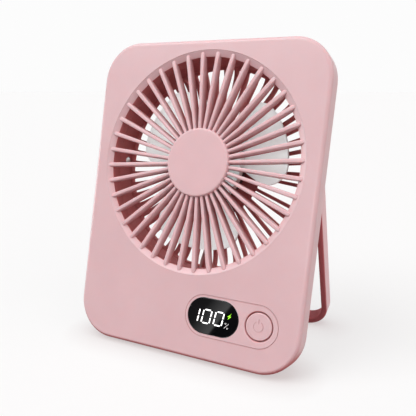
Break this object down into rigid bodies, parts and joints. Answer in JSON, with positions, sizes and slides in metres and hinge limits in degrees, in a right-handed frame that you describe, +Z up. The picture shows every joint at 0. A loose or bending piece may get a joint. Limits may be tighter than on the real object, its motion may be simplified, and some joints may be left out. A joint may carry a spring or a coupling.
{
  "type": "rechargeable_desk_fan",
  "caption": "Slim rechargeable desk fan: a rounded slab case leaning on a folding U stand, radial grilles, sickle blades on a hub motor, a smoked display and a push button.",
  "frame": {"origin": "on the floor, under the middle of the bounding box", "axes": "+X to the right as seen from the front, +Y to the back, +Z up; the face looks along -Y, leaning back"},
  "size_m": [0.12, 0.0708, 0.146],
  "materials": {
    "case": "fine matte texture",
    "panel": "smooth matte",
    "lens": "polished smoked",
    "fan_plastic": "satin",
    "dark_plastic": "moulded",
    "pale_plastic": "moulded",
    "washer_plastic": "moulded",
    "circuit_board": "solder mask",
    "plated_steel": "plated",
    "core_steel": "ground",
    "can_steel": "dark coated",
    "ferrite": "sintered",
    "bronze": "sintered",
    "winding": "enamelled wire",
    "cell_foil": "laminated foil",
    "foam": "closed cell foam",
    "lead_cover": "smooth"
  },
  "bodies": {
    "body": {"front_shell": "case", "front_grille": "case", "control_panel": "panel", "display_lens": "lens", "display_module": "dark_plastic", "switch_body": "dark_plastic", "main_board": "circuit_board", "socket_shell": "plated_steel", "socket_tongue": "dark_plastic", "driver_chip": "dark_plastic", "charge_chip": "dark_plastic", "power_inductor": "ferrite", "board_connectors": "pale_plastic", "board_screws": "plated_steel", "battery_cell": "cell_foil", "battery_pad": "foam", "battery_lead": "lead_cover", "motor_lead": "lead_cover", "motor_base": "pale_plastic", "motor_screws": "plated_steel", "bearing_bushes": "bronze", "motor_board": "circuit_board", "stator_core": "core_steel", "stator_windings": "winding", "rear_shell": "case", "rear_grille": "case", "hinge_washers": "washer_plastic", "case_screws": "plated_steel"},
    "impeller": {"impeller": "fan_plastic", "rotor_can": "can_steel", "rotor_magnets": "ferrite", "motor_shaft": "core_steel", "shaft_clip": "washer_plastic"},
    "stand": {"stand": "case", "hinge_pins": "plated_steel"},
    "button": {"power_button": "panel", "switch_plunger": "pale_plastic"}
  },
  "joints": [
    {"name": "impeller_spin", "type": "hinge", "parent": "body", "child": "impeller", "pos_m": [0, 0.00054, 0.08734], "axis": [0, -0.9627, 0.2706], "continuous": true},
    {"name": "stand_hinge", "type": "hinge", "parent": "body", "child": "stand", "pos_m": [0, 0.00266, 0.08674], "axis": [1, 0, 0], "range_deg": [-34.4, 55.6]},
    {"name": "button_press", "type": "slide", "parent": "body", "child": "button", "axis": [0, 0.9627, -0.2706], "range_m": [0, 0.0004], "stiffness_N_per_m": 1500, "springref_m": -0.0004}
  ]
}
